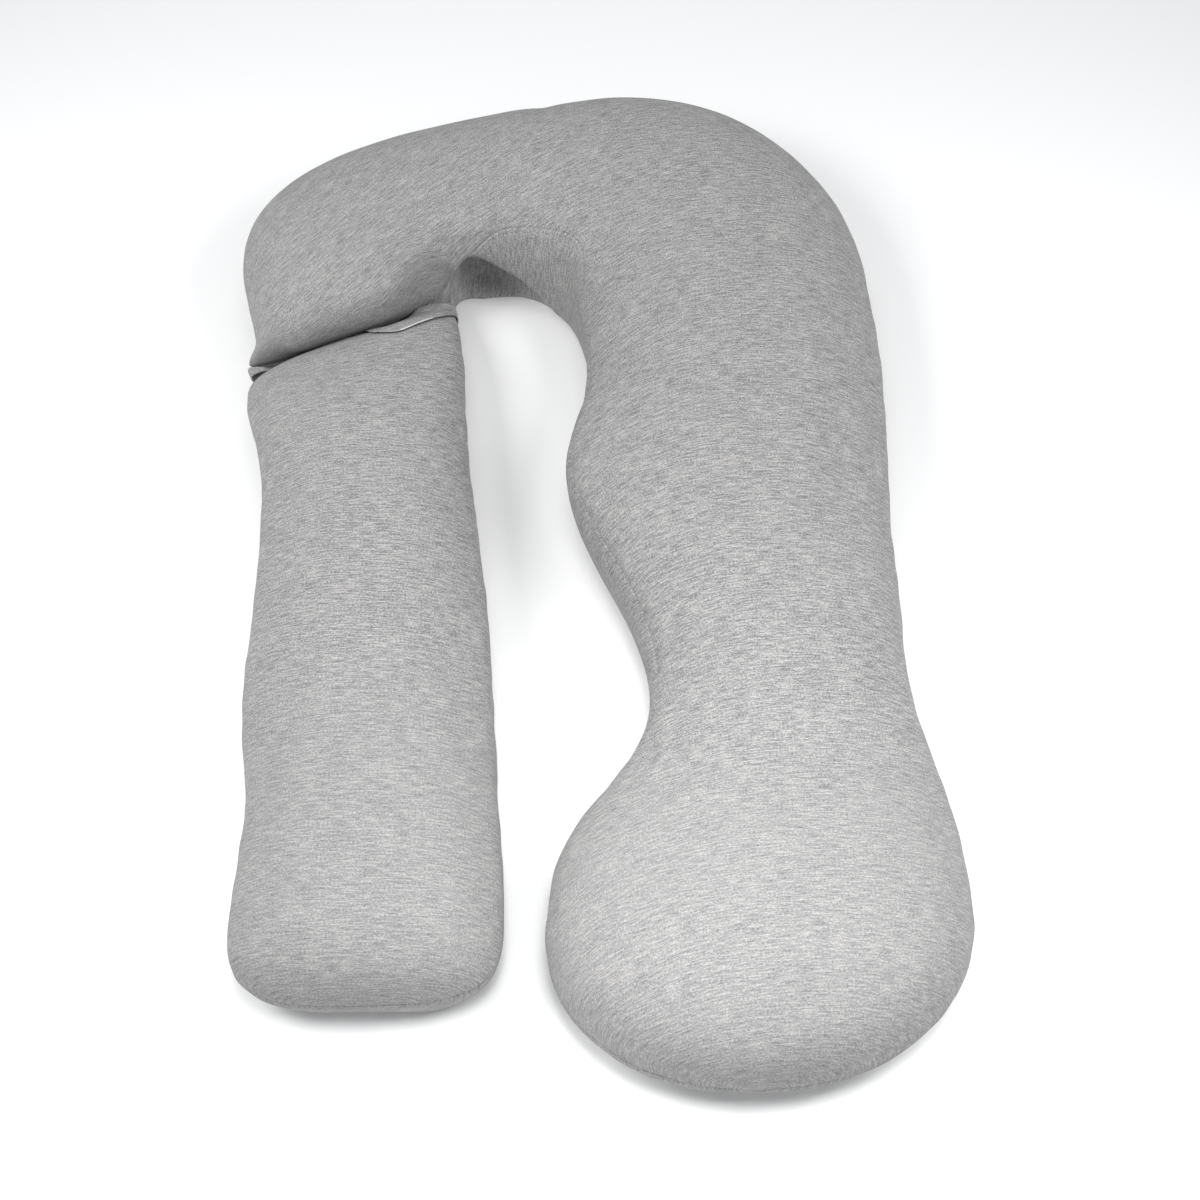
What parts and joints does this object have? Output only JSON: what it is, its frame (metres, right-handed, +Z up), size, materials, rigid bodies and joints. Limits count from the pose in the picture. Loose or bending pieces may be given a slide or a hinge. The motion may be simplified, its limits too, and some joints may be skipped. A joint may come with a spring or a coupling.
{
  "type": "hooked full-body pillow with a detachable straight arm",
  "caption": "Hook-shaped filled body pillow in heather jersey with a straight arm joined at one end by a covered joint, for lying between or leaning on.",
  "frame": {"origin": "on the floor, under the middle of the whole pillow as it lies", "axes": "+Y from the open end to the head end, +X from the arm to the long leg, +Z up out of the floor"},
  "size_m": [0.8758, 1.3762, 0.1781],
  "materials": {
    "jersey": "matt heather grey knit with fine streaks across the cushion",
    "flap_jersey": "matt heather grey knit, doubled"
  },
  "bodies": {
    "root": {"body_cushion": "jersey", "arm_cushion": "jersey", "joint_flap": "flap_jersey"}
  },
  "joints": []
}
